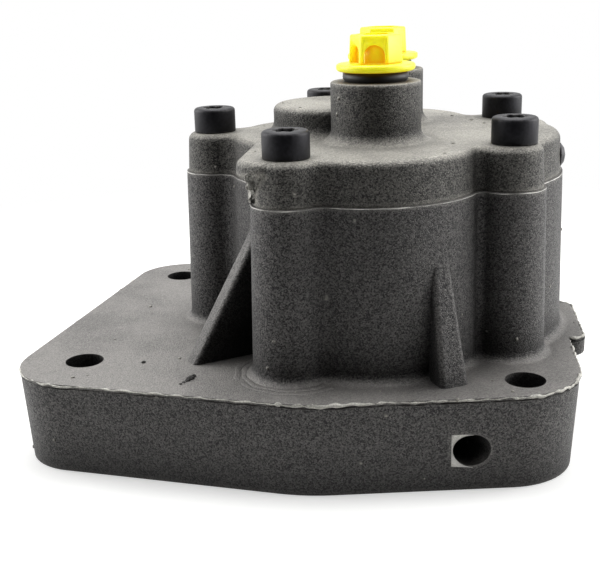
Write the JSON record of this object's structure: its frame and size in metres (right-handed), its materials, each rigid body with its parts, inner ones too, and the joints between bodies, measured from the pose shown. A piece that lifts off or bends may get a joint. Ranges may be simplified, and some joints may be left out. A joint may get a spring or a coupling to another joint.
{
  "type": "fuel feed pump",
  "caption": "Gear type fuel feed pump: flanged iron body, bolted lobed cover, two closed ports on top and a slotted drive shaft underneath.",
  "frame": {"origin": "centre of the pilot recess in the mounting face, on the drive shaft's axis", "axes": "+Z out of the mounting face towards the ports, +X from the drive shaft to the second shaft, +Y completes the frame"},
  "size_m": [0.1347, 0.118, 0.0959],
  "materials": {
    "casting_iron": "shot blasted, as cast",
    "bolt_black": "black oxide",
    "ground_steel": "ground",
    "spring_steel": "drawn wire",
    "plug_steel": "phosphated",
    "bush_bronze": "turned",
    "seal_rubber": "moulded, matte",
    "transit_yellow": "moulded, glossy"
  },
  "bodies": {
    "housing": {"pump_body": "casting_iron", "pump_cover": "casting_iron", "cover_bolts": "bolt_black", "dowel_pins": "ground_steel", "cover_seal": "seal_rubber", "drive_body_bush": "bush_bronze", "idler_body_bush": "bush_bronze", "drive_cover_bush": "bush_bronze", "idler_cover_bush": "bush_bronze", "retaining_ring": "spring_steel", "outer_shaft_seal": "seal_rubber", "seal_spacer": "ground_steel", "inner_shaft_seal": "seal_rubber", "relief_seat": "ground_steel", "relief_spring": "spring_steel", "check_seat": "ground_steel", "check_spring": "spring_steel", "gallery_plug": "plug_steel", "mounting_ring": "seal_rubber"},
    "drive": {"drive_shaft": "ground_steel", "drive_gear": "ground_steel", "drive_key": "ground_steel"},
    "idler": {"idler_shaft": "ground_steel", "driven_gear": "ground_steel"},
    "relief": {"relief_piston": "ground_steel"},
    "check": {"check_ball": "ground_steel"},
    "inlet_cap": {"inlet_plug": "transit_yellow", "inlet_plug_ring": "seal_rubber"},
    "outlet_cap": {"outlet_plug": "transit_yellow", "outlet_plug_ring": "seal_rubber"}
  },
  "joints": [
    {"name": "drive_spin", "type": "hinge", "parent": "housing", "child": "drive", "pos_m": [0, 0, 0.05], "axis": [0, 0, 1], "continuous": true},
    {"name": "idler_spin", "type": "hinge", "parent": "housing", "child": "idler", "pos_m": [0.024, 0, 0.05], "axis": [0, 0, 1], "continuous": true},
    {"name": "relief_lift", "type": "slide", "parent": "housing", "child": "relief", "axis": [0, 0, 1], "range_m": [0, 0.005], "stiffness_N_per_m": 2000, "springref_m": -0.004, "deforming": ["relief_spring"]},
    {"name": "check_lift", "type": "slide", "parent": "housing", "child": "check", "axis": [0, 0, 1], "range_m": [0, 0.003], "stiffness_N_per_m": 200, "springref_m": -0.002, "deforming": ["check_spring"]},
    {"name": "inlet_cap_pull", "type": "slide", "parent": "housing", "child": "inlet_cap", "axis": [0, 0, 1], "range_m": [0, 0.03]},
    {"name": "outlet_cap_pull", "type": "slide", "parent": "housing", "child": "outlet_cap", "axis": [0, 0, 1], "range_m": [0, 0.03]}
  ],
  "couplings": [
    {"joint": "idler_spin", "follows": "drive_spin", "ratio": -1}
  ]
}
